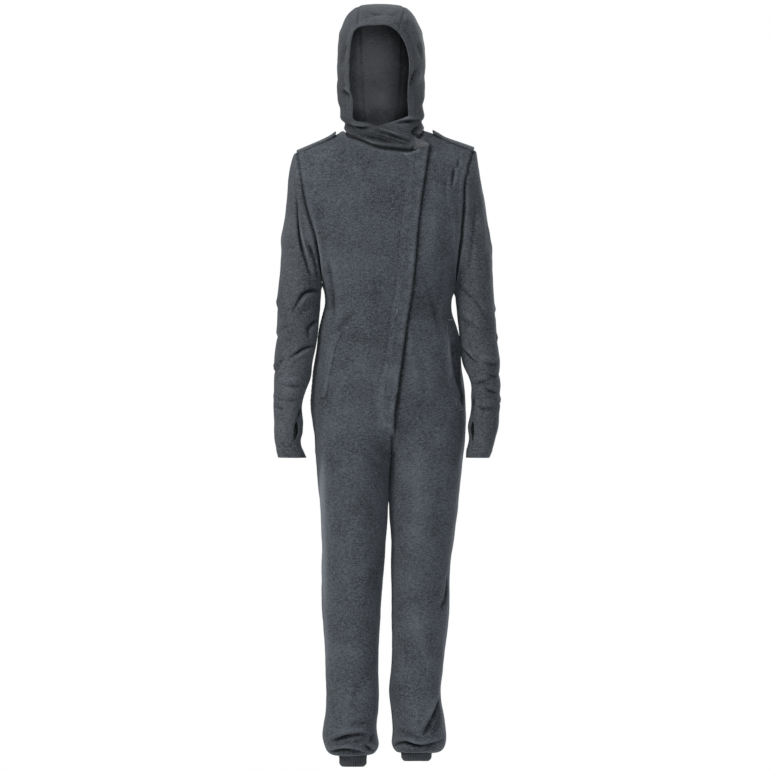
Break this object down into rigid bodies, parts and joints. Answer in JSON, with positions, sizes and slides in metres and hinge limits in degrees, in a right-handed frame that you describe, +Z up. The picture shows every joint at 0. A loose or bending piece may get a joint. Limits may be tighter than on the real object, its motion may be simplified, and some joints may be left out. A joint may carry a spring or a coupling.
{
  "type": "onesie pajama",
  "caption": "Hooded fleece jumpsuit in the shape it has when worn, with a slanted concealed front fly, shoulder straps, thumb-hole sleeves and gathered ankles.",
  "frame": {"origin": "middle of the neck's base, between the inner ends of the shoulders, where the garment hangs from the wearer", "axes": "+Z up along the wearer, -Y out of the front, -X to the wearer's right"},
  "size_m": [0.506, 0.2395, 1.6981],
  "materials": {
    "fleece_body": "matt brushed pile",
    "fleece_sleeve": "matt brushed pile",
    "fleece_hood": "matt brushed pile",
    "cuff_knit": "matt",
    "fleece_strap": "matt brushed pile",
    "tab_cloth": "matt",
    "zip_tape": "matt"
  },
  "bodies": {
    "root": {"front_right_upper": "fleece_body", "front_right_hip": "fleece_body", "front_right_leg": "fleece_body", "front_left_upper": "fleece_body", "front_left_hip": "fleece_body", "front_left_leg": "fleece_body", "back_right_upper": "fleece_body", "back_right_hip": "fleece_body", "back_right_leg": "fleece_body", "back_left_upper": "fleece_body", "back_left_hip": "fleece_body", "back_left_leg": "fleece_body", "sleeve_right": "fleece_sleeve", "sleeve_left": "fleece_sleeve", "hood_side_right": "fleece_hood", "hood_side_left": "fleece_hood", "hood_centre": "fleece_hood", "ankle_cuff_right": "cuff_knit", "ankle_cuff_left": "cuff_knit", "epaulette_right": "fleece_strap", "epaulette_left": "fleece_strap", "pocket_welt_right": "fleece_body", "pocket_welt_left": "fleece_body", "fly_top_tab": "tab_cloth", "zip_tape": "zip_tape"}
  },
  "joints": []
}
